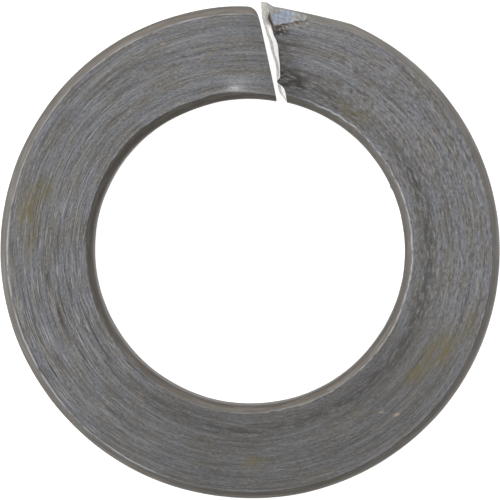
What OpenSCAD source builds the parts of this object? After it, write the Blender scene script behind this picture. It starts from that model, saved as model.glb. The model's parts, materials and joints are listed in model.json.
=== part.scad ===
// Helical spring lock washer: one turn of rounded flat wire, sheared off on a slant
// and sprung open, so that one end stands above the other.
// The bore axis is Z, the low end's tip lies at z = 0 and the gap faces +Y.
// Angles round the coil run clockwise from +Y as seen from above.

/* [Ring] */
// Diameter of the hole
bore_d = 19.3; // [16:0.1:24]
// Radial width of the wire
wire_w = 5.9; // [4.8:0.1:7.2]
// Thickness of the wire
wire_t = 4.8; // [4:0.1:6]
// Radius of the wire's rounded edges
edge_r = 0.65; // [0.4:0.05:0.9]
// Slope at which a rounded edge leaves the flat face along a crisp line, in degrees
edge_slope = 25; // [10:1:40]

/* [Spring] */
// Height that the coil climbs in a full turn
rise = 2; // [1:0.1:2.6]

/* [Cut] */
// Width of the gap between the two cut faces
gap = 0.6; // [0.4:0.05:1.2]
// Lean of the cut away from the radius, in degrees, its outer end towards the raised end
cut_skew = 16; // [8:1:20]
// Lean of the cut away from upright, in degrees, its top over the low end
cut_lean = 6; // [2:1:9]

/* [Raised end] */
// Radius of its outer corner, which the shear rolled over
rolled_r = 1.2; // [0.6:0.1:1.6]

/* [Low end] */
// Depth of the flat that the shear pressed into its outer wall
flat_depth = 0.28; // [0.1:0.02:0.4]
// Width of the facet beside the flat, where the facet meets the cut face
facet_w = 1.35; // [0.8:0.05:1.6]
// Angle at which the facet's inner edge closes on the outer wall, in degrees
facet_taper = 21; // [14:1:28]
// Slope of the facet down towards the outer wall, in degrees
facet_slope = 28; // [15:1:35]

/* [Hidden] */
$fn = 96;

// Sections along the coil, chords in each rounded edge and in the rolled corner
COIL_STEPS = 120;
EDGE_STEPS = 4;
ROLL_STEPS = 6;
// How far the swept coil stands past the bore and the outer wall before they trim it
SKIN = 0.055;
// Reach of a cutter past what it cuts
OVER = 2;

bore_r = bore_d / 2;
mid_r = bore_r + wire_w / 2;
outer_r = bore_r + wire_w;
coil_length = 2 * PI * mid_r - gap;

// Angle at which a point of the wire, at radius r and height z in its section, meets
// a cut face: side is 1 on the low end, -1 on the raised end and 0 between them
function cut_angle(r, z, side) =
    asin((mid_r * sin(cut_skew) + side * gap / 2 + (z - wire_t / 2) * tan(cut_lean)) / r)
    - cut_skew;

// The low end's outer corner at its foot is the lowest point of the coil
tip_angle = cut_angle(outer_r, 0, 1);
function climb(angle) = rise * (angle - tip_angle) / 360;

// One rounded edge of the section as [radius, height]: side is 0 at the bore and 1 outside,
// top is 0 underneath and 1 on top, and the arc runs from the flat face to the wall or back
function edge(side, top, to_wall, width) = [
    for (i = [0:EDGE_STEPS])
        let (
            q = edge_slope + (90 - edge_slope) * (to_wall ? i : EDGE_STEPS - i) / EDGE_STEPS,
            inset = edge_r * (1 - sin(q)),
            drop = edge_r * (cos(edge_slope) - cos(q))
        )
            [
                bore_r - SKIN + (side == 1 ? width - inset : inset),
                top == 1 ? wire_t - drop : drop
            ]
];

// Section of the wire, for a width that is narrower at the rolled corner
function section(width) = concat(
    edge(0, 0, false, width),
    edge(1, 0, true, width),
    edge(1, 1, false, width),
    edge(0, 1, true, width)
);

// Stations along the coil as [share of its length, how far the outer wall has rolled in]
roll_share = rolled_r / coil_length;
stations = concat(
    [for (i = [0:COIL_STEPS]) [(1 - roll_share) * i / COIL_STEPS, 0]],
    [
        for (i = [1:ROLL_STEPS])
            let (q = 90 * i / ROLL_STEPS)
                [1 - roll_share * (1 - sin(q)), rolled_r * (1 - cos(q))]
    ]
);

// A section placed at its station, each point between its own two cut angles
function placed(station) = [
    for (p = section(wire_w + 2 * SKIN - station[1]))
        let (
            first = cut_angle(p[0], p[1], 1),
            last = 360 + cut_angle(p[0], p[1], -1),
            angle = first + (last - first) * station[0]
        )
            [p[0] * sin(angle), p[0] * cos(angle), p[1] + climb(angle)]
];

module coil() {
    n = len(section(wire_w));
    last = n * (len(stations) - 1);
    points = [for (station = stations) each placed(station)];
    sides = [
        for (i = [0:len(stations) - 2])
            for (k = [0:n - 1])
                let (a = i * n + k, b = i * n + (k + 1) % n)
                    each [[a, b, b + n], [a, b + n, a + n]]
    ];
    low_face = [for (k = [1:n - 2]) [0, k + 1, k]];
    raised_face = [for (k = [1:n - 2]) [last, last + k, last + k + 1]];
    polyhedron(points, concat(sides, low_face, raised_face), convexity = 6);
}

// Everything beyond the middle of the gap, on the low end's side
module low_side() {
    reach = 2 * outer_r;
    translate([0, mid_r, wire_t / 2])
        rotate([0, 0, cut_skew])
            rotate([0, cut_lean, 0])
                translate([0, -reach / 2, -reach / 2])
                    cube(reach);
}

// Flat on the outer wall, from the tip on
module flat_cut() {
    half_angle = acos(1 - flat_depth / outer_r);
    rotate([0, 0, -tip_angle - half_angle])
        translate([-outer_r / 2, outer_r - flat_depth, -OVER])
            cube([outer_r, OVER, wire_t + rise + 2 * OVER]);
}

// Sloping facet on the top outer edge, widest at the cut face
module facet_cut() {
    start_r = outer_r - facet_w;
    start_angle = cut_angle(start_r, wire_t, 1);
    rotate([0, 0, -start_angle])
        translate([0, start_r, wire_t + climb(start_angle)])
            rotate([0, 0, facet_taper])
                rotate([-facet_slope, 0, 0])
                    translate([-outer_r / 2, -OVER, 0])
                        cube([outer_r, outer_r / 2, OVER]);
}

module washer() {
    height = wire_t + rise;
    color("#6b6d70")
        difference() {
            intersection() {
                coil();
                translate([0, 0, -OVER])
                    cylinder(r = outer_r, h = height + 2 * OVER);
            }
            translate([0, 0, -OVER])
                cylinder(r = bore_r, h = height + 2 * OVER);
            intersection() {
                low_side();
                union() {
                    flat_cut();
                    facet_cut();
                }
            }
        }
}

washer();
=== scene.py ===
import json
import math

import bpy
import numpy as np
from mathutils import Matrix, Vector, noise


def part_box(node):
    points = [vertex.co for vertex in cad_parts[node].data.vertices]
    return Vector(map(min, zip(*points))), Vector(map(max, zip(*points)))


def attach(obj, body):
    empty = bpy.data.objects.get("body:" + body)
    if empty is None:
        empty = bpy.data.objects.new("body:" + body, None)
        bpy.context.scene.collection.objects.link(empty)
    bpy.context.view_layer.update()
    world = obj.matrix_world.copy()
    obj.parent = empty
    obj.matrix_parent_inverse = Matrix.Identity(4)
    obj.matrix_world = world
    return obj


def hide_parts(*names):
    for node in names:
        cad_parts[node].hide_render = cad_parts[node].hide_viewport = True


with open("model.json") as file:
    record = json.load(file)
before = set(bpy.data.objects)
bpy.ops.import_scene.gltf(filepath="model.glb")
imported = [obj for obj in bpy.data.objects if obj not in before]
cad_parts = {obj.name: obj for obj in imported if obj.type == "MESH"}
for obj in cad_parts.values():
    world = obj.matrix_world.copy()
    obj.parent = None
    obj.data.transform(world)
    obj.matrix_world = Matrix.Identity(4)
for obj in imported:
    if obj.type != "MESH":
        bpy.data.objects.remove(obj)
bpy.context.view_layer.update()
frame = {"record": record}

# ---------------------------------------------------------------------------------------
# Sizes, in millimetres and radians. The coil is one turn of flat wire with rounded edges.
# Angles run clockwise from +Y as seen from above, and start at the low end. Where a mark
# or a change of shape lies is given by its turn in degrees and its distance from the bore.
# ---------------------------------------------------------------------------------------
MM = 0.001
BORE = next(m for m in frame["record"]["mounts"] if m["name"] == "bore")
BORE_R = BORE["dims"]["r_mm"]
OUTER_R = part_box("washer")[1].x / MM
WIRE_W = OUTER_R - BORE_R
WIRE_T = 4.8
MID_R = BORE_R + WIRE_W / 2
RISE = 2.0

# The rounded edges leave the flat faces at a slope, so they meet along a crisp line
EDGE_R = 0.65
EDGE_SLOPE = math.radians(25)
EDGE_INSET = EDGE_R * (1 - math.sin(EDGE_SLOPE))
# The crisp lines stand a little proud
LIP = 0.012

# The cut: its gap, its lean away from the radius and its lean away from upright
GAP = 0.6
CUT_SKEW = math.radians(16)
CUT_LEAN = math.radians(6)
COIL_LENGTH = 2 * math.pi * MID_R - GAP

# The raised end's outer corner, which the shear rolled over
ROLL_LENGTH = 0.40
ROLL_DEPTH = 0.55
ROLL_REACH = (WIRE_W - 2.1, WIRE_W - 0.2)

# The flat that the shear pressed into the low end's outer wall, how much of its depth the
# wire took, and the spur that the shear drew out of the tip
FLAT_DEPTH = 0.28
FLAT_TAKEN = 0.72
PRESSED_REACH = (WIRE_W - 2.9, WIRE_W - 0.4)
SPUR = 0.2
SPUR_LENGTH = 0.22

# The facet beside the flat: its width at the cut, how its inner edge closes on the outer
# wall, its slope, how far the pressed metal spreads, and where it ends bluntly
FACET_W = 1.35
FACET_TAPER = math.radians(14)
FACET_SLOPE = math.radians(28)
FACET_SPREAD = 0.05
FACET_END = (2.0, 2.9)
FACET_END_DEPTH = 0.9
# Its inner edge is ragged, by waves of (depth, turns in radians a millimetre, start)
FACET_WAVE = (0.05, 5.1, 0)
FACET_WAVE_SWELL = (1, 2.3, 1)
FACET_RIPPLE = (0.025, 17, 0)
# The groove torn along that edge, and the lump and the ditch in it, as (place inside the
# edge, half width, depth), and where these two are as (distance from the cut, half length)
EDGE_GROOVE = (-0.04, 0.09, 0.10)
LUMP = (-0.36, 0.13, -0.12)
LUMP_ALONG = (0.75, 0.16)
DITCH = (-0.30, 0.3, 0.07)
DITCH_ALONG = (0.55, 0.5)
# How far below the top face the torn metal may lie, how fast the facet's finish ends down
# the outer wall, and a value for points far from the facet
FACET_TOP = 0.3
FACET_FADE = 8
NOWHERE = -9.0

# How the coiling left the ring out of round: how far each end is drawn in and over which
# turns, and half the difference that makes it oval
LOW_DRAWN_IN = 0.13
LOW_DRAWN_TURNS = 60
RAISED_DRAWN_IN = 0.23
RAISED_DRAWN_TURNS = (292, 352)
OVAL = 0.04

# How far the crisp lines lie further onto the face than the edge radius puts them, the
# bells that add to it as (turn, half width, more), where the inner one ends at the cut,
# how much the outer one wanders against the inner, and how far across the face they move it
INNER_LINE = 0.10
INNER_LINE_MORE = [
    (180, 30, 0.04),
    (320, 45, 0.09),
]
INNER_LINE_END = (349, 361)
OUTER_LINE = 0.09
OUTER_LINE_MORE = [
    (320, 50, 0.06),
]
OUTER_WANDER = -0.5
LINE_SPAN = (0, EDGE_INSET, EDGE_INSET, 1.8)

# What the coiling did to the wire's sides, each over some turns: it left the outside of
# the far half narrower, the raised end narrower on both sides, and the bore's foot wider
FAR_HALF = (130, 190, 290, 330)
FAR_NARROWING = 0.09
RAISED_OUTSIDE = (348, 355)
RAISED_OUTSIDE_NARROWING = 0.06
RAISED_BORE = (330, 350)
RAISED_BORE_NARROWING = 0.09
RAISED_BORE_REACH = (0, 2)
WIDE_FOOT = (115, 140, 275, 295)
FOOT_NARROWING = 0.06
FOOT_REACH = (0, 1.2)
FOOT_HEIGHT = (0.5, 2.5)
# The burr at the bore's foot, as (turn, half width, height), and how far it reaches across
# and up
BURR = [
    (60.7, 1.1, 0.10),
    (62.5, 0.8, 0.05),
]
BURR_REACH = (0, 0.3)
BURR_HEIGHT = (1.5, 3)

# How far the low end's sheared face stands back from its plane, as (distance from the
# bore, half width, how far back): at its top there is a nose that reaches into the gap,
# and a hollow; its foot is chipped at the bore
TOP_OF_CUT = [
    (1.17, 0.22, -0.36),
    (1.6, 0.5, -0.12),
    (3.4, 0.6, 0.08),
    (5.1, 0.3, -0.13),
]
FOOT_OF_CUT = [
    (0, 0.35, 0.3),
    (2.1, 0.7, 0.13),
    (5.0, 0.6, -0.08),
]
TOP_OF_CUT_HEIGHT = (1.5, WIRE_T)
CUT_SET_BACK = 0.09
CUT_SET_BACK_END = (3.6, 4.1)
# How far into the coil the torn cut edge is felt
TORN_REACH = 0.7
# How far the raised end reaches past its plane at the bore, how much less that is for each
# millimetre across, and the length of wire that it draws out
RAISED_REACH = 0.18
RAISED_REACH_LOSS = 0.033
RAISED_DRAWN = 3

# Uneven metal, as layers of (strength, length of a lump along, across and up, seed)
HILLS = [
    (0.022, (5, 1.6, 1.6), 0.0),
    (0.010, (1.2, 0.7, 0.7), 7.3),
    (0.006, (5, 0.28, 0.28), 3.1),
]
WANDER = [
    (0.035, (1.6, 3, 3), 21.0),
    (0.04, (0.4, 3, 3), 5.0),
]
TORN_METAL = [
    (0.03, (0.5, 0.9, 1), 0.0),
    (0.015, (0.15, 0.3, 1), 4.0),
]
PIT_SIZE = (0.35, 0.25, 0.25)
PIT_DEPTH = 0.02
PIT_THRESHOLD = 0.35
PIT_SEED = 11.7

# Divisions of the mesh: across a face and down a wall, how much closer these are near the
# edges, in half of a rounded edge, the longest step along the coil, the step beside a cut
# face, where the one grows to the other, and steps in the rolled corner
FACE_STEPS = 40
WALL_STEPS = 18
CROWDING = 0.5
HALF_EDGE_STEPS = 4
LONG_STEP = 0.143
SHORT_STEP = 0.06
STEP_GROWTH = (0.5, 3)
ROLL_STEPS = 14

# ---------------------------------------------------------------------------------------
# Marks on the top face
# ---------------------------------------------------------------------------------------
# How far below the flat top face they may lie
TOP_DEPTH = 0.15
# Patches as (turn, distance from the bore, half length in degrees, half width, strength):
# dried oil and thin rust, spots polished by rubbing, specks of pale dirt, soot where the
# cut was torn, oil behind the cut's nose, and dark scale there and in two nicks
STAINS = [
    (112, 3.8, 5, 0.75, 1.1),
    (103, 4.7, 4, 0.5, 0.7),
    (120, 3.15, 4.5, 0.5, 0.9),
    (281.5, 3.5, 3.2, 0.6, 0.9),
    (275, 4.4, 5, 0.6, 1.1),
    (267, 4.0, 4, 0.5, 0.6),
    (32, 1.05, 5, 0.6, 0.65),
    (174, 3.5, 2.5, 0.4, 0.9),
    (141, 2.6, 2, 0.3, 0.4),
]
BURNISHED = [
    (350.1, 0.58, 2.3, 0.26, 0.8),
    (351.0, 1.05, 4.5, 0.5, 0.35),
]
SPECKS = [
    (135.3, 3.32, 0.35, 0.06, 0.6),
    (132.8, 4.07, 0.55, 0.07, 0.8),
    (332.5, 4.47, 0.5, 0.06, 0.6),
    (52, 3.9, 0.35, 0.06, 0.5),
    (61, 4.6, 0.4, 0.05, 0.5),
]
SOOT = [
    (4.2, 1.1, 1.4, 0.24, 0.8),
    (3.2, 2.3, 1.2, 0.8, 0.5),
]
OIL = [
    (8, 1.2, 6, 0.8, 0.9),
]
SCALE = [
    (8, 1.3, 5, 0.5, 0.9),
    (334.3, 3.64, 0.5, 0.12, 1),
    (336.5, 3.3, 0.5, 0.1, 1),
]
# Long marks as (first turn, last turn, distance from the bore at the first and at the
# last, strength): the scored grooves, and one fine scratch that crosses the drawn lines
GROOVES = [
    (231, 259, 2.58, 2.93, 0.8),
    (226, 243, 1.31, 1.20, 0.7),
    (240, 251, 4.60, 4.37, 0.6),
    (172, 190, 1.72, 1.53, 0.45),
    (176, 200, 1.06, 0.80, 0.35),
    (212, 228, 3.55, 3.45, 0.45),
]
GROOVE_HALF_W = 0.08
SCRATCH = [(339.5, 347.5, 2.75, 3.50, 0.5)]
SCRATCH_HALF_W = 0.06
# The bright lip beside each groove
LIP_OFFSET = 0.15
LIP_HALF_W = 0.06
LIP_STRENGTH = 0.4


def smooth(value, start, stop):
    """0 before start and 1 after stop, with a soft step between them."""
    t = np.clip((value - start) / (stop - start), 0, 1)
    return t * t * (3 - 2 * t)


def fade(value, start, stop):
    """1 before start and 0 after stop."""
    return 1 - smooth(value, start, stop)


def window(value, start, full, fading, gone):
    """1 between full and fading, and 0 before start and after gone."""
    return smooth(value, start, full) * fade(value, fading, gone)


def bell(value, centre, half_width):
    return np.exp(-(((value - centre) / half_width) ** 2))


def wave(value, height, rate, start):
    return height * np.sin(value * rate + start)


def bells(value, table):
    """The sum of some bells, each given as (centre, half width, height)."""
    return sum(height * bell(value, centre, half_width) for centre, half_width, height in table)


def lumps(points, size, seed=0.0):
    """Soft noise from -1 to 1 at each point; size is the length of a lump along each axis."""
    scaled = points / np.array(size) + seed
    return np.array([noise.noise(Vector(p)) for p in scaled])


def layered(points, layers):
    return sum(strength * lumps(points, size, seed) for strength, size, seed in layers)


# ---------------------------------------------------------------------------------------
# Shape of the coil
# ---------------------------------------------------------------------------------------
def cut_angle(r, z, side):
    """Angle at which the wire meets a cut face: side is 1 on the low end, -1 on the raised end."""
    across = MID_R * math.sin(CUT_SKEW) + side * GAP / 2 + (z - WIRE_T / 2) * math.tan(CUT_LEAN)
    return np.arcsin(across / r) - CUT_SKEW


TIP_ANGLE = float(cut_angle(OUTER_R, 0, 1))
FLAT_ANGLE = TIP_ANGLE + math.acos(1 - FLAT_DEPTH / OUTER_R)
# Past this far from its middle the flat has long run out of the wire
FLAT_HALF_ANGLE = 0.3


def climb(angle):
    return RISE * (angle - TIP_ANGLE) / (2 * math.pi)


def out_of_round(angle):
    """How far the coil stands off its true circle: both ends are drawn in, and it is a
    little oval."""
    turn = np.degrees(angle)
    # The tip lies a little before turn 0, hence a share a little over 1
    low_end = LOW_DRAWN_IN * np.clip(1 - turn / LOW_DRAWN_TURNS, 0, 1.05) ** 2
    raised_end = RAISED_DRAWN_IN * smooth(turn, *RAISED_DRAWN_TURNS)
    return -low_end - raised_end - OVAL * np.cos(2 * angle)


def half_edge(side, top, start, stop):
    """Points of half a rounded edge, as [across, height, outward across, outward up]."""
    points = []
    for q in np.linspace(start, stop, HALF_EDGE_STEPS + 1):
        inset = EDGE_R * (1 - math.sin(q))
        drop = EDGE_R * (math.cos(EDGE_SLOPE) - math.cos(q))
        across = WIRE_W - inset if side else inset
        height = WIRE_T - drop if top else drop
        out = math.sin(q) * (1 if side else -1)
        up = math.cos(q) * (1 if top else -1)
        points.append([across, height, out, up])
    return points


def straight(first, last, out, up, steps):
    """Points between two others, closer together near both of them."""
    points = []
    for t in np.linspace(0, 1, steps + 1)[1:-1]:
        share = t - CROWDING / (2 * math.pi) * math.sin(2 * math.pi * t)
        across = first[0] + (last[0] - first[0]) * share
        height = first[1] + (last[1] - first[1]) * share
        points.append([across, height, out, up])
    return points


def side_of_section(first, last, out, up, steps):
    """Half an edge, the straight stretch and half the next edge."""
    return first + straight(first[-1], last[0], out, up, steps) + last


MID_EDGE = (EDGE_SLOPE + math.pi / 2) / 2
WALL = math.pi / 2
# The underside, the outer wall, the top face and the bore wall
SECTION_SIDES = [
    side_of_section(
        half_edge(0, 0, MID_EDGE, EDGE_SLOPE),
        half_edge(1, 0, EDGE_SLOPE, MID_EDGE),
        0, -1, FACE_STEPS,
    ),
    side_of_section(
        half_edge(1, 0, MID_EDGE, WALL),
        half_edge(1, 1, WALL, MID_EDGE),
        1, 0, WALL_STEPS,
    ),
    side_of_section(
        half_edge(1, 1, MID_EDGE, EDGE_SLOPE),
        half_edge(0, 1, EDGE_SLOPE, MID_EDGE),
        0, 1, FACE_STEPS,
    ),
    side_of_section(
        half_edge(0, 1, MID_EDGE, WALL),
        half_edge(0, 0, WALL, MID_EDGE),
        -1, 0, WALL_STEPS,
    ),
]
FACE_COUNT = len(SECTION_SIDES[0]) - 1
WALL_COUNT = len(SECTION_SIDES[1]) - 1
SECTION = np.array([p for side in SECTION_SIDES for p in side[:-1]])
LOOP = len(SECTION)
# Places in the loop where a flat face meets a rounded edge along a crisp line
CREASES = [
    HALF_EDGE_STEPS,
    FACE_COUNT - HALF_EDGE_STEPS,
    FACE_COUNT + WALL_COUNT + HALF_EDGE_STEPS,
    2 * FACE_COUNT + WALL_COUNT - HALF_EDGE_STEPS,
]


def stations():
    """Shares of the coil's length at which a section stands, closer together near the cuts."""
    along = [0.0]
    roll_start = COIL_LENGTH - ROLL_LENGTH
    while along[-1] < roll_start:
        to_cut = min(along[-1], roll_start - along[-1])
        growth = float(smooth(to_cut, *STEP_GROWTH))
        along.append(along[-1] + SHORT_STEP + (LONG_STEP - SHORT_STEP) * growth)
    fit = roll_start / along[-1]
    along = [x * fit for x in along]
    turns = np.linspace(0, math.pi / 2, ROLL_STEPS + 1)[1:]
    along += [roll_start + ROLL_LENGTH * math.sin(q) for q in turns]
    return np.array(along) / COIL_LENGTH


def low_cut_relief(across, height):
    """How far the low end's sheared face stands back from a plane."""
    top = smooth(height, *TOP_OF_CUT_HEIGHT)
    set_back = CUT_SET_BACK * fade(across, *CUT_SET_BACK_END)
    return set_back + top * bells(across, TOP_OF_CUT) + (1 - top) * bells(across, FOOT_OF_CUT)


def angle_at(across, height, share):
    """Angle of a point that lies at that share of the way from one cut face to the other."""
    r = BORE_R + across
    along = share * COIL_LENGTH
    torn = low_cut_relief(across, height) * np.exp(-along / TORN_REACH) / r
    drawn = smooth(along, COIL_LENGTH - RAISED_DRAWN, COIL_LENGTH)
    reach = (RAISED_REACH - RAISED_REACH_LOSS * across) / r * drawn
    first = cut_angle(r, height, 1) + torn
    last = 2 * math.pi + cut_angle(r, height, -1) + reach
    return first + (last - first) * share


def edge_shift(across, turn, wander):
    """The crisp lines lie further onto the face than the edge radius puts them, more so
    towards the raised end, and they wander a little. Positive is away from the bore."""
    inner = INNER_LINE + bells(turn, INNER_LINE_MORE)
    inner = inner * fade(turn, *INNER_LINE_END) + wander
    outer = OUTER_LINE + bells(turn, OUTER_LINE_MORE) + OUTER_WANDER * wander
    return inner * window(across, *LINE_SPAN) - outer * window(WIRE_W - across, *LINE_SPAN)


def worked_across(across, height, along, angle, wander):
    """Distance from the bore once the coiling and the shear have moved the wire's sides."""
    turn = np.degrees(angle)
    across = across + edge_shift(across, turn, wander)

    # The outside: the pressed flat with its spur, the raised end and the far half
    off_middle = np.clip(angle - FLAT_ANGLE, -FLAT_HALF_ANGLE, FLAT_HALF_ANGLE)
    flat = np.maximum(OUTER_R - (OUTER_R - FLAT_DEPTH) / np.cos(off_middle), 0)
    pressed = (FLAT_TAKEN * flat - SPUR * bell(along, 0, SPUR_LENGTH)) * (angle < math.pi)
    pressed = pressed + RAISED_OUTSIDE_NARROWING * smooth(turn, *RAISED_OUTSIDE)
    pressed = pressed + FAR_NARROWING * window(turn, *FAR_HALF)
    across = across - pressed * smooth(across, *PRESSED_REACH)

    # The rolled corner
    roll = np.clip(1 - (COIL_LENGTH - along) / ROLL_LENGTH, 0, 1)
    squeeze = ROLL_DEPTH * (1 - np.sqrt(1 - roll**2))
    across = across - squeeze * smooth(across, *ROLL_REACH)

    # The bore: the raised end, the foot of the far half and the burr
    raised = smooth(turn, *RAISED_BORE) * fade(across, *RAISED_BORE_REACH)
    across = across + RAISED_BORE_NARROWING * raised
    foot = window(turn, *WIDE_FOOT) * fade(height, *FOOT_HEIGHT) * fade(across, *FOOT_REACH)
    across = across + FOOT_NARROWING * foot
    burr = bells(turn, BURR) * fade(across, *BURR_REACH) * fade(height, *BURR_HEIGHT)
    return across - burr


def press_facet(across, height, along, angle, z):
    """Heights once the top outer edge beside the low end's cut is pressed down to a slope,
    with a torn groove along its inner edge, and how far each point lies past that edge."""
    start_r = OUTER_R - FACET_W - FACET_SPREAD
    start = float(cut_angle(start_r, WIRE_T, 1))
    x = (BORE_R + across) * np.sin(angle - start)
    y = (BORE_R + across) * np.cos(angle - start) - start_r
    ragged = wave(x, *FACET_WAVE) * wave(x, *FACET_WAVE_SWELL) + wave(x, *FACET_RIPPLE)
    beyond = y * math.cos(FACET_TAPER) - x * math.sin(FACET_TAPER) + ragged
    beyond = beyond - FACET_END_DEPTH * smooth(x, *FACET_END)
    at_low_end = angle < math.pi / 2
    beyond = np.where(at_low_end & (height > WIRE_T / 2), beyond, NOWHERE)
    slope = WIRE_T + float(climb(start)) - math.tan(FACET_SLOPE) * beyond
    pressed_away = z - slope
    z = np.where(beyond > 0, np.minimum(z, slope), z)
    on_top = height > WIRE_T - FACET_TOP
    lump = bells(beyond, [LUMP]) * bell(along, *LUMP_ALONG)
    ditch = bells(beyond, [DITCH]) * bell(along, *DITCH_ALONG)
    z = z - bells(beyond, [EDGE_GROOVE]) * on_top - (lump + ditch) * on_top * at_low_end
    return z, np.where(beyond > 0, np.minimum(beyond, FACET_FADE * pressed_away), beyond)


def place(across, height, share, lift, out, up, wander=0.0):
    """Points of the wire in millimetres: across it from the bore, up it from its underside and
    along it by share. lift moves a point along its outward direction, (out, up)."""
    along = share * COIL_LENGTH
    across = worked_across(across, height, along, angle_at(across, height, share), wander)
    angle = angle_at(across, height, share)
    z, beyond = press_facet(across, height, along, angle, height + climb(angle))
    r = BORE_R + across + out * lift + out_of_round(angle)
    return np.stack([r * np.sin(angle), r * np.cos(angle), z + up * lift], -1), angle, beyond


def cut_face(end, last_row, first_free):
    """Quads, points and what the finish needs of the cut face at share 0 or 1. Its rim is the
    section that stands there, and its inner points are numbered from first_free on."""
    along_face = np.arange(FACE_COUNT + 1)
    down_wall = np.arange(WALL_COUNT + 1)
    rim = np.zeros((FACE_COUNT + 1, WALL_COUNT + 1), int)
    rim[:, 0] = along_face
    rim[:, -1] = 2 * FACE_COUNT + WALL_COUNT - along_face
    rim[-1, :] = FACE_COUNT + down_wall
    rim[0, :] = (LOOP - down_wall) % LOOP

    flat = SECTION[rim][..., :2]
    u = np.linspace(0, 1, FACE_COUNT + 1)[:, None, None]
    v = np.linspace(0, 1, WALL_COUNT + 1)[None, :, None]
    inside = (
        (1 - v) * flat[:, :1] + v * flat[:, -1:] + (1 - u) * flat[:1] + u * flat[-1:]
        - (1 - u) * (1 - v) * flat[0, 0] - u * (1 - v) * flat[-1, 0]
        - (1 - u) * v * flat[0, -1] - u * v * flat[-1, -1]
    )
    across, height = inside[1:-1, 1:-1].reshape(-1, 2).T
    zero = np.zeros(len(across))
    points, angle, _ = place(across, height, zero + end, zero, zero, zero)
    # The noise on the two faces is taken 9 mm apart, so they differ
    rough = layered(np.stack([across, height, zero + 9 * end], -1), TORN_METAL)
    points[:, 0] += rough * np.cos(CUT_SKEW)
    points[:, 1] -= rough * np.sin(CUT_SKEW)

    grid = rim + end * last_row * LOOP
    grid[1:-1, 1:-1] = first_free + np.arange(len(across)).reshape(FACE_COUNT - 1, WALL_COUNT - 1)
    quads = np.stack([grid[:-1, :-1], grid[:-1, 1:], grid[1:, 1:], grid[1:, :-1]], -1)
    quads = quads.reshape(-1, 4)
    known = {
        "across": across, "height": height, "along": zero + end * COIL_LENGTH,
        "turn": np.degrees(angle), "beyond": zero + NOWHERE, "lip": zero, "off_face": zero,
    }
    return quads[:, ::-1] if end else quads, points, known


def patches(across, turn, table):
    return sum(
        strength * bell(turn, at, length) * bell(across, middle, width)
        for at, middle, length, width, strength in table
    )


def lines(across, turn, table, half_width):
    """Long marks on the top face, each fading out at both ends."""
    marks = np.zeros(len(turn))
    for first, last, start, stop, strength in table:
        middle = start + (stop - start) * (turn - first) / (last - first)
        within = window(turn, first - 1, first + 1, last - 1, last + 1)
        marks = marks + strength * bell(across, middle, half_width) * within
    return marks


def pitted_band(across, turn):
    """Dark pitted scale: a band beside the bore that starts wide behind the cut's nose."""
    band = 0.8 * bell(across, 1.45, 0.5) * window(turn, 25, 60, 120, 280)
    start = 0.8 * bell(across, 1.5 - 0.02 * turn, 0.65) * fade(turn, 20, 45)
    beside_cut = 0.6 * bell(turn, 4, 5) * window(across, 1, 2, 3.5, 5)
    return np.clip(band + start + beside_cut + patches(across, turn, SCALE), 0, 1.3)


def finish_marks(across, height, along, turn, beyond, lip, off_face):
    """What the finish needs to know at each point, each mostly from 0 to 1."""
    on_top = height > WIRE_T - TOP_DEPTH
    inside = across < WIRE_W / 2
    # Mottled oxide blurs the drawn lines on the right of the cut
    mottling = window(turn, 10, 28, 195, 225) * (1 - 0.55 * smooth(turn, 90, 120))
    mottling = mottling + 0.2 * smooth(turn, 290, 320)
    # Painted highlight on the crisp lines, on the turns where each faces the key light: the inner
    # line on one side of the ring and the outer one on the other
    inner_highlight = 0.1 + 0.9 * window(turn, 8, 25, 160, 195) * (1 - 0.8 * smooth(turn, 85, 135))
    outer_highlight = 0.9 * smooth(turn, 185, 205) * (1 - 0.6 * smooth(turn, 265, 285))
    # Painted shade on the rounded edges and walls: darker at the turns where they take less light,
    # most in the bore; and painted light: paler at the bore's foot, as a reflection of the bright
    # floor, and around turns 45 and 95
    shade_inside = 1 + bells(turn, [(55, 45, -0.85), (160, 20, 0.3)])
    shade_outside = 0.95 * smooth(turn, 262, 315) + 0.8 * bell(turn, 170, 27)
    # Painted reflection of the bright floor: the bore wall paler towards its foot
    foot = fade(height, 0.1, 0.9) * bell(turn, 205, 50)
    lit_inside = foot + 0.12 * bell(turn, 45, 30)
    lit_outside = 0.18 * bell(turn, 95, 30)
    lips = lines(across - LIP_OFFSET, turn, GROOVES, LIP_HALF_W)
    oily_end = smooth(along, COIL_LENGTH - 1.3, COIL_LENGTH - 0.4)
    return {
        "worn_and_highlight": lip * np.where(inside, inner_highlight, outer_highlight) * (height > WIRE_T / 2),
        "pitted": on_top * pitted_band(across, turn),
        "mottled": mottling,
        "drawn": 0.85 - 0.5 * mottling + 0.65 * bell(turn, 250, 42) - 0.45 * smooth(turn, 330, 350),
        "torn": on_top * bell(beyond, -0.34, 0.2) * bell(along, 0.4, 0.45),
        "scratched": on_top * lines(across, turn, SCRATCH, SCRATCH_HALF_W),
        # The share by turn is painted shade, darker where the ring takes less light; the patches
        # behind the cut's nose and the raised end's last millimetre are oil
        "oil_and_shade": window(turn, 85, 135, 185, 240) + 0.2 * smooth(turn, 245, 300)
        + patches(across, turn, OIL) + 0.45 * oily_end,
        "stained": on_top * patches(across, turn, STAINS),
        "burnished": on_top * (patches(across, turn, BURNISHED) + LIP_STRENGTH * lips),
        "specks": on_top * patches(across, turn, SPECKS),
        "sooty": on_top * (
            patches(across, turn, SOOT) + lines(across, turn, GROOVES, GROOVE_HALF_W)
        ),
        "facet": beyond,
        "rounded": off_face,
        "painted_shade_band": off_face * np.where(inside, shade_inside, shade_outside),
        "painted_light_band": off_face * np.where(inside, lit_inside, lit_outside),
    }


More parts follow.
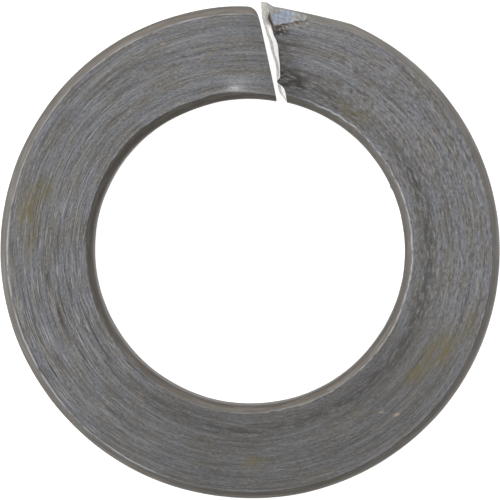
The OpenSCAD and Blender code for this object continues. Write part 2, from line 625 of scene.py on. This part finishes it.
def washer_mesh():
    """The wire's surface as rings of quads, closed by a grid of quads on each cut face."""
    shares = stations()
    count = len(shares)
    across, height, out, up = [np.tile(SECTION[:, k], count) for k in range(4)]
    share = np.repeat(shares, LOOP)
    lip = np.tile(np.isin(np.arange(LOOP), CREASES), count)
    on_face = np.zeros(LOOP, bool)
    on_face[CREASES[0]:CREASES[1] + 1] = True
    on_face[CREASES[2]:CREASES[3] + 1] = True

    spot = np.stack([share * COIL_LENGTH, across, height], -1)
    pits = np.clip(lumps(spot, PIT_SIZE, PIT_SEED) - PIT_THRESHOLD, 0, 1)
    lift = layered(spot, HILLS) - PIT_DEPTH * pits + LIP * lip
    wander = layered(spot, WANDER)
    points, angle, beyond = place(across, height, share, lift, out, up, wander)
    known = {
        "across": across, "height": height, "along": share * COIL_LENGTH,
        "turn": np.degrees(angle), "beyond": beyond, "lip": lip.astype(float),
        "off_face": np.tile(~on_face, count).astype(float),
    }

    ring = np.arange(LOOP)
    following = (ring + 1) % LOOP
    one_ring = np.stack([ring, following, LOOP + following, LOOP + ring], -1)
    sides = np.concatenate([one_ring + i * LOOP for i in range(count - 1)])

    low_quads, low_points, low_known = cut_face(0, count - 1, len(points))
    free = len(points) + len(low_points)
    raised_quads, raised_points, raised_known = cut_face(1, count - 1, free)
    points = np.concatenate([points, low_points, raised_points]) * MM
    quads = np.concatenate([sides, low_quads, raised_quads])

    mesh = bpy.data.meshes.new("washer_coil")
    mesh.vertices.add(len(points))
    mesh.vertices.foreach_set("co", points.ravel())
    mesh.loops.add(quads.size)
    mesh.loops.foreach_set("vertex_index", quads.ravel())
    mesh.polygons.add(len(quads))
    mesh.polygons.foreach_set("loop_start", np.arange(0, quads.size, 4))
    mesh.update(calc_edges=True)
    mesh.validate()
    # Material 0 is on the sides and material 1 on the cut faces
    mesh.polygons.foreach_set("material_index", (np.arange(len(quads)) >= len(sides)).astype(int))
    mesh.polygons.foreach_set("use_smooth", np.ones(len(quads), bool))

    # Crisp lines: the borders of both flat faces and the rims of the two cut faces
    ends = np.zeros(len(mesh.edges) * 2, int)
    mesh.edges.foreach_get("vertices", ends)
    ends = ends.reshape(-1, 2)
    on_sides = (ends < count * LOOP).all(1)
    lane = ends % LOOP
    row = ends // LOOP
    on_crease = on_sides & (lane[:, 0] == lane[:, 1]) & np.isin(lane[:, 0], CREASES)
    on_rim = on_sides & (row[:, 0] == row[:, 1]) & np.isin(row[:, 0], [0, count - 1])
    sharp = mesh.attributes.new("sharp_edge", "BOOLEAN", "EDGE")
    sharp.data.foreach_set("value", on_crease | on_rim)

    known = {
        name: np.concatenate([known[name], low_known[name], raised_known[name]])
        for name in known
    }
    coil = mesh.attributes.new("coil", "FLOAT_VECTOR", "POINT")
    coil_spots = np.stack([known["along"], known["across"], known["height"]], -1)
    coil.data.foreach_set("vector", coil_spots.ravel())
    for name, values in finish_marks(**known).items():
        layer = mesh.attributes.new(name, "FLOAT", "POINT")
        layer.data.foreach_set("value", np.asarray(values, float))
    return mesh


# ---------------------------------------------------------------------------------------
# Finishes
# ---------------------------------------------------------------------------------------
def colour(code):
    """A colour written as in sRGB, turned linear."""
    parts = [int(code[i:i + 2], 16) / 255 for i in (1, 3, 5)]
    linear = [p / 12.92 if p <= 0.04045 else ((p + 0.055) / 1.055) ** 2.4 for p in parts]
    return (*linear, 1)


def add(tree, kind, inputs=None, **settings):
    """A new node with its settings, each input linked to a socket or set to a value."""
    node = tree.nodes.new(kind)
    for name, value in settings.items():
        setattr(node, name, value)
    for key, value in (inputs or {}).items():
        if isinstance(value, bpy.types.NodeSocket):
            tree.links.new(value, node.inputs[key])
        else:
            node.inputs[key].default_value = value
    return node


def new_material(name):
    material = bpy.data.materials.new(name)
    material.use_nodes = True
    material.node_tree.nodes.clear()
    return material, material.node_tree


def coil_spot(tree):
    """Where a point is on the wire, in millimetres along the coil, across it from the bore
    and up from its underside: as one vector, and as its X, Y and Z."""
    spot = add(tree, "ShaderNodeAttribute", attribute_name="coil").outputs["Vector"]
    return spot, add(tree, "ShaderNodeSeparateXYZ", {0: spot}).outputs


def share_of(tree, *limits):
    """The product of some limits. Each is a number, a socket, the name of a mark on the mesh,
    or (socket, where it starts, where it is full, the most it may be, or else 1)."""
    share = None
    for limit in limits:
        if isinstance(limit, str):
            limit = add(tree, "ShaderNodeAttribute", attribute_name=limit).outputs["Fac"]
        if isinstance(limit, tuple):
            value, start, full, most = (*limit, 1.0)[:4]
            limit = add(
                tree, "ShaderNodeMapRange",
                {"Value": value, "From Min": start, "From Max": full, "To Max": most},
                interpolation_type="SMOOTHSTEP",
            ).outputs[0]
        if share is not None:
            limit = add(
                tree, "ShaderNodeMath", {0: share, 1: limit}, operation="MULTIPLY"
            ).outputs[0]
        share = limit
    return share


def coat(tree, under, paint, *limits):
    """A coat of paint over what is under it, as thick as the limits allow. Paint and what is
    under it are colour codes or sockets."""
    under, paint = [colour(c) if isinstance(c, str) else c for c in (under, paint)]
    share = share_of(tree, *limits)
    return add(
        tree, "ShaderNodeMix", {0: share, 6: under, 7: paint}, data_type="RGBA"
    ).outputs[2]


# Marks that run along the coil, as (length, width, seed, detail, slant in degrees). The
# finest real lines are thinner than this and wouldn't show.
PATTERNS = {
    "blend": (2.6, 0.8, 0.0, 5, 0),
    "grain": (0.22, 0.10, 31.0, 3, 0),
    "fine": (1.8, 0.075, 12.0, 4, 0),
    "crossing": (1.2, 0.07, 57.0, 3, 3),
    "scored": (3.5, 0.11, 29.0, 2, 0),
    "broad": (6, 0.22, 83.0, 3, 0),
    "mottle": (0.5, 0.16, 64.0, 5, 0),
    "scale": (0.65, 0.18, 19.0, 6, 0),
    "blotch": (1.0, 0.25, 44.0, 5, 0),
    "scuffs": (2.0, 0.14, 97.0, 4, 0),
    "wear": (0.8, 0.5, 71.0, 2, 0),
    "speckle": (0.2, 0.2, 5.0, 4, 0),
}
# Coats on the bare oxide as (colour, mark that it keeps to, pattern that it follows, where
# that starts, where it is full, its most)
OXIDE = "#636468"
COATS = [
    # Warm patches a few millimetres long, and the grain of the rolled surface
    ("#625f5a", None, "blend", 0.42, 0.6, 0.85),
    ("#403f40", None, "grain", 0.5, 0.7, 0.65),
    ("#828286", None, "grain", 0.48, 0.3, 0.55),
    # Drawn lines: pale where they are rubbed and dark where they hold oil
    ("#9c9ca0", "drawn", "fine", 0.55, 0.72, 0.65),
    ("#2f2e2d", "drawn", "fine", 0.46, 0.28, 0.65),
    ("#94928d", "drawn", "crossing", 0.57, 0.72, 0.5),
    ("#2c2b2a", "drawn", "scored", 0.6, 0.74, 0.55),
    ("#3e3d3b", None, "broad", 0.47, 0.3, 0.5),
    ("#7e7d7c", None, "broad", 0.53, 0.7, 0.5),
    # Mottled oxide
    ("#443f39", "mottled", "mottle", 0.5, 0.66, 0.65),
    ("#828286", "mottled", "mottle", 0.46, 0.3, 0.65),
    # Scale left in the pits, and soot
    ("#33302b", "pitted", "scale", 0.36, 0.58, 0.85),
    ("#2b2926", "sooty", "scale", 0.2, 0.5, 1.0),
]
# How much of their own colour the oil with its painted shade and the bands of painted light add, and
# how even the rounded edges are
OIL_AND_SHADE_COLOUR = "#413f3c"
OIL_AND_SHADE_SHARE = 0.42
PAINTED_LIGHT_COLOUR = "#a5a19a"
PAINTED_LIGHT_SHARE = 0.45
EDGE_EVENNESS = (0.95, 0.8)
# How far the facet's edge is ragged, and how fast its torn line narrows away from the cut
FACET_RAGGED = 0.3
TORN_NARROWING = -0.12


def oiled_spring_steel():
    """Hot-rolled spring steel wire, coiled, hardened and oiled: dark grey with a blue cast
    and warm patches, drawn lines along the coil, bare metal where it has been polished, painted
    highlights on the crisp edges that face the light, and painted shade and light on the rounded
    edges."""
    material, tree = new_material("oiled_spring_steel")
    spot, axes = coil_spot(tree)
    from_cut = axes["X"]

    pattern = {}
    for name, (length, width, seed, detail, slant) in PATTERNS.items():
        turned = add(
            tree, "ShaderNodeVectorRotate",
            {"Vector": spot, "Angle": math.radians(slant), "Center": (0, 0, 0)},
            rotation_type="Z_AXIS",
        )
        scaled = add(
            tree, "ShaderNodeVectorMath",
            {0: turned.outputs[0], 1: (1 / length, 1 / width, 1 / width), 2: (seed, seed, seed)},
            operation="MULTIPLY_ADD",
        )
        pattern[name] = add(
            tree, "ShaderNodeTexNoise",
            {"Vector": scaled.outputs[0], "Scale": 1.0, "Detail": detail, "Roughness": 0.6},
        ).outputs["Fac"]
    grain = pattern["grain"]
    speckle = pattern["speckle"]

    tone = OXIDE
    for paint, mark, name, start, full, most in COATS:
        limits = [mark] if mark else []
        tone = coat(tree, tone, paint, *limits, (pattern[name], start, full, most))
    # Oil darkens the steel where more of it has stayed, and has dried with thin rust; painted shade
    # darkens it further at the turns that take less light
    tone = coat(tree, tone, OIL_AND_SHADE_COLOUR, "oil_and_shade", OIL_AND_SHADE_SHARE)
    tone = coat(tree, tone, "#5d563e", "stained", (pattern["blotch"], 0.36, 0.55, 0.85))

    # The rounded edges keep their even brown-black oxide, with painted shade making them darker at
    # the turns that take less light, most in the bore
    even = add(
        tree, "ShaderNodeMapRange",
        {"Value": grain, "From Min": 0.3, "From Max": 0.7,
         "To Min": EDGE_EVENNESS[0], "To Max": EDGE_EVENNESS[1]},
    ).outputs[0]
    scuffed = (pattern["scuffs"], 0.4, 0.62)
    tone = coat(tree, tone, coat(tree, "#605d59", "#6f6b66", scuffed), "rounded", even)
    # Painted shade on the rounded edges, darker at the turns that take less light
    tone = coat(tree, tone, coat(tree, "#544f4a", "#605b56", scuffed), "painted_shade_band", even)
    # Painted light: the bore's foot paler as a reflection of the bright floor, and a paler stretch of
    # the outer wall
    tone = coat(tree, tone, PAINTED_LIGHT_COLOUR, "painted_light_band", PAINTED_LIGHT_SHARE)

    # Pale metal along the crisp edges, a painted highlight on the turns that face the light, and bare
    # metal where it has been polished
    worn_and_highlight = share_of(tree, "worn_and_highlight", (pattern["wear"], 0.3, 0.6))
    polished = share_of(tree, "burnished", (grain, 0.85, 0.35, 0.9))
    rubbed_and_highlit = add(tree, "ShaderNodeMath", {0: worn_and_highlight, 1: polished}, operation="MAXIMUM").outputs[0]
    tone = coat(tree, tone, "#9a9a9d", rubbed_and_highlit)

    # The line torn along the facet's inner edge, and the torn metal beside the cut
    facet = share_of(tree, "facet")
    ragged = share_of(tree, pattern["blotch"], FACET_RAGGED)
    facet_edge = add(tree, "ShaderNodeMath", {0: facet, 1: ragged}, operation="SUBTRACT").outputs[0]
    narrowing = add(
        tree, "ShaderNodeMath", {0: from_cut, 1: TORN_NARROWING, 2: facet_edge},
        operation="MULTIPLY_ADD",
    ).outputs[0]
    torn_tone = coat(tree, "#37322d", "#66543f", (speckle, 0.44, 0.6))
    tone = coat(
        tree, tone, torn_tone,
        (narrowing, -0.6, -0.25), (facet_edge, 0.04, -0.08), (speckle, 0.8, 0.35, 0.85),
    )
    torn_tone = coat(tree, "#221f1d", "#8c857c", (speckle, 0.52, 0.66))
    tone = coat(tree, tone, torn_tone, "torn")

    # The pressed facet: bare steel, blued by heat near the cut, with a dark rim at the cut
    pressed_tone = coat(
        tree, "#6c6c69", "#616b7e",
        (from_cut, 1.6, 0.9), (from_cut, 0.1, 0.35), (speckle, 0.62, 0.42), (facet_edge, 0.9, 0.6),
    )
    pressed_tone = coat(tree, pressed_tone, "#85878a", (speckle, 0.46, 0.34, 0.6))
    pressed_tone = coat(tree, pressed_tone, "#4f4b45", (speckle, 0.54, 0.68, 0.7))
    pressed_tone = coat(
        tree, pressed_tone, "#2b2826", (from_cut, 0.2, 0.08), (facet_edge, 0.85, 0.5)
    )
    pressed = share_of(tree, (facet_edge, -0.08, 0.02))
    tone = coat(tree, tone, pressed_tone, pressed)
    tone = coat(tree, tone, "#a1917e", "specks")
    tone = coat(tree, tone, "#81735f", "scratched")

    # Oxide is duller than bare metal
    bare = add(tree, "ShaderNodeMath", {0: rubbed_and_highlit, 1: pressed}, operation="MAXIMUM").outputs[0]
    oxide_roughness = add(
        tree, "ShaderNodeMapRange",
        {"Value": pattern["blend"], "From Min": 0.3, "From Max": 0.7, "To Min": 0.42, "To Max": 0.56},
    ).outputs[0]
    roughness = add(
        tree, "ShaderNodeMix", {0: bare, 2: oxide_roughness, 3: 0.3}, data_type="FLOAT"
    ).outputs[0]

    heights = pattern["fine"]
    for other in (pattern["crossing"], grain):
        heights = add(tree, "ShaderNodeMath", {0: heights, 1: other}, operation="ADD").outputs[0]
    bump = add(
        tree, "ShaderNodeBump", {"Strength": 0.5, "Distance": 0.02 * MM, "Height": heights}
    )
    shader = add(
        tree, "ShaderNodeBsdfPrincipled",
        {"Base Color": tone, "Metallic": 0.8, "Roughness": roughness, "Normal": bump.outputs[0],
         "Specular Tint": (0.7, 0.7, 0.7, 1)},
    )
    add(tree, "ShaderNodeOutputMaterial", {"Surface": shader.outputs[0]})
    return material


def sheared_steel():
    """Freshly sheared steel: smeared grey in lines where the blade slid down it, and pale and
    grainy above, where the metal broke away, painted near white there as a highlight."""
    material, tree = new_material("sheared_steel")
    spot, axes = coil_spot(tree)
    lines_down = add(
        tree, "ShaderNodeVectorMath", {0: spot, 1: (1, 7, 0.9)}, operation="MULTIPLY"
    ).outputs[0]
    torn = add(
        tree, "ShaderNodeTexNoise",
        {"Vector": lines_down, "Scale": 1.0, "Detail": 5.0, "Roughness": 0.65},
    ).outputs["Fac"]
    grains = add(
        tree, "ShaderNodeTexNoise",
        {"Vector": spot, "Scale": 6.0, "Detail": 4.0, "Roughness": 0.7},
    ).outputs["Fac"]

    # The metal broke away above a wavy line, but not under the facet
    wavy = add(
        tree, "ShaderNodeMath", {0: torn, 1: 1.5, 2: axes["Z"]}, operation="MULTIPLY_ADD"
    ).outputs[0]
    past_facet = share_of(tree, (axes["Y"], 4.8, 4.3))
    broken = share_of(tree, (wavy, 2.6, 3.4), past_facet)

    slid, corner, shine, roughness = [
        add(
            tree, "ShaderNodeMapRange",
            {"Value": value, "From Min": low, "From Max": high, "To Min": least, "To Max": most},
        ).outputs[0]
        for value, low, high, least, most in (
            (torn, 0.35, 0.65, 0.0, 1.0),
            (past_facet, 0.0, 1.0, 0.5, 1.0),
            (broken, 0.0, 1.0, 0.7, 1.0),
            (broken, 0.0, 1.0, 0.4, 0.2),
        )
    ]
    slid_tone = coat(tree, "#77726a", coat(tree, "#7d776f", "#c9c4bc", slid), corner)
    # Where the metal broke away it is pale, and painted up to white as a highlight where the face
    # catches the light
    broken_and_highlit_tone = coat(tree, "#dddbd4", "#ffffff", grains)
    tone = coat(tree, slid_tone, broken_and_highlit_tone, broken)
    bump = add(tree, "ShaderNodeBump", {"Strength": 0.5, "Distance": 0.03 * MM, "Height": torn})
    shader = add(
        tree, "ShaderNodeBsdfPrincipled",
        {"Base Color": tone, "Metallic": shine, "Roughness": roughness, "Normal": bump.outputs[0]},
    )
    add(tree, "ShaderNodeOutputMaterial", {"Surface": shader.outputs[0]})
    return material


# ---------------------------------------------------------------------------------------
# The piece
# ---------------------------------------------------------------------------------------
mesh = washer_mesh()
mesh.materials.append(oiled_spring_steel())
mesh.materials.append(sheared_steel())
washer = bpy.data.objects.new("washer_finish", mesh)
bpy.context.scene.collection.objects.link(washer)
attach(washer, "root")
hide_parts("washer")

# ---------------------------------------------------------------------------------------
# Studio
# ---------------------------------------------------------------------------------------
# The washer lies on the foot of its low end and, half a turn and so half the rise away, on
# the outer lower edge of the coil. The floor leans by that much against the bore axis.
TOUCH_R = OUTER_R - EDGE_INSET
UPRIGHT = Vector((RISE / (2 * math.pi * TOUCH_R), RISE / (4 * TOUCH_R), 1)).normalized()
corners = np.empty(len(mesh.vertices) * 3)
mesh.vertices.foreach_get("co", corners)
floor_height = float((corners.reshape(-1, 3) @ np.array(UPRIGHT)).min())

# Half the side of the floor, in metres
FLOOR_HALF = 3.0
level_y = Vector((1, 0, 0)).cross(UPRIGHT).normalized()
level_x = level_y.cross(UPRIGHT)
floor_mesh = bpy.data.meshes.new("floor")
floor_mesh.from_pydata(
    [UPRIGHT * floor_height + level_y * (FLOOR_HALF * a) + level_x * (FLOOR_HALF * b)
     for a, b in ((-1, -1), (1, -1), (1, 1), (-1, 1))],
    [], [(0, 1, 2, 3)],
)
# White board, lit so evenly that it shows no shadow
board, tree = new_material("white_board")
shader = add(
    tree, "ShaderNodeBsdfPrincipled",
    {"Base Color": colour("#bcbcbc"), "Roughness": 0.9, "Emission Color": (1, 1, 1, 1),
     "Emission Strength": 0.8},
)
add(tree, "ShaderNodeOutputMaterial", {"Surface": shader.outputs[0]})
floor_mesh.materials.append(board)
floor = bpy.data.objects.new("floor", floor_mesh)
bpy.context.scene.collection.objects.link(floor)

# A soft tent, bright towards one side and dim towards the other
TENT_BRIGHT = Vector((-0.7, 0.7, 0.1)).normalized()
world = bpy.data.worlds.new("tent")
world.use_nodes = True
tree = world.node_tree
tree.nodes.clear()
way = add(tree, "ShaderNodeTexCoord").outputs["Generated"]
towards = add(
    tree, "ShaderNodeVectorMath", {0: way, 1: TENT_BRIGHT}, operation="DOT_PRODUCT"
).outputs["Value"]
strength = add(
    tree, "ShaderNodeMapRange",
    {"Value": towards, "From Min": -0.9, "From Max": 0.95, "To Min": 0.52, "To Max": 2.22},
    interpolation_type="SMOOTHSTEP",
).outputs[0]
backdrop = add(tree, "ShaderNodeBackground", {"Color": (1, 1, 1, 1), "Strength": strength})
add(tree, "ShaderNodeOutputWorld", {"Surface": backdrop.outputs[0]})
bpy.context.scene.world = world

# A soft round lamp on the tent's bright side, in metres and watts, that faces the washer
LAMP_WAY = Vector((-0.5, 0.6, 0.9)).normalized()
LAMP_DISTANCE = 0.5
lamp_data = bpy.data.lights.new("key_light", "AREA")
lamp_data.shape = "DISK"
lamp_data.size = 0.25
lamp_data.energy = 0.4
lamp = bpy.data.objects.new("key_light", lamp_data)
lamp.location = LAMP_WAY * LAMP_DISTANCE
lamp.rotation_euler = LAMP_WAY.to_track_quat("Z", "Y").to_euler()
lamp.visible_camera = False
bpy.context.scene.collection.objects.link(lamp)

# The camera looks straight down on the floor, with the gap a little right of the top
LENS = 576
SENSOR = 36
VIEW_WIDTH = 31.25 * MM
GAP_OFF_TOP = math.radians(5.15)
AIM = Vector((0, 0, 3.4 * MM))
distance = VIEW_WIDTH * LENS / SENSOR
image_up = Vector((-math.sin(GAP_OFF_TOP), math.cos(GAP_OFF_TOP), 0))
image_right = image_up.cross(UPRIGHT).normalized()
image_up = UPRIGHT.cross(image_right)
camera_data = bpy.data.cameras.new("camera")
camera_data.lens = LENS
camera_data.sensor_width = SENSOR
camera_data.clip_start = 0.05
camera_data.clip_end = 20
camera = bpy.data.objects.new("camera", camera_data)
turned = Matrix((image_right, image_up, UPRIGHT)).transposed()
camera.matrix_world = Matrix.LocRotScale(AIM + UPRIGHT * distance, turned.to_quaternion(), None)
bpy.context.scene.collection.objects.link(camera)
bpy.context.scene.camera = camera
bpy.context.scene.view_settings.view_transform = "Standard"
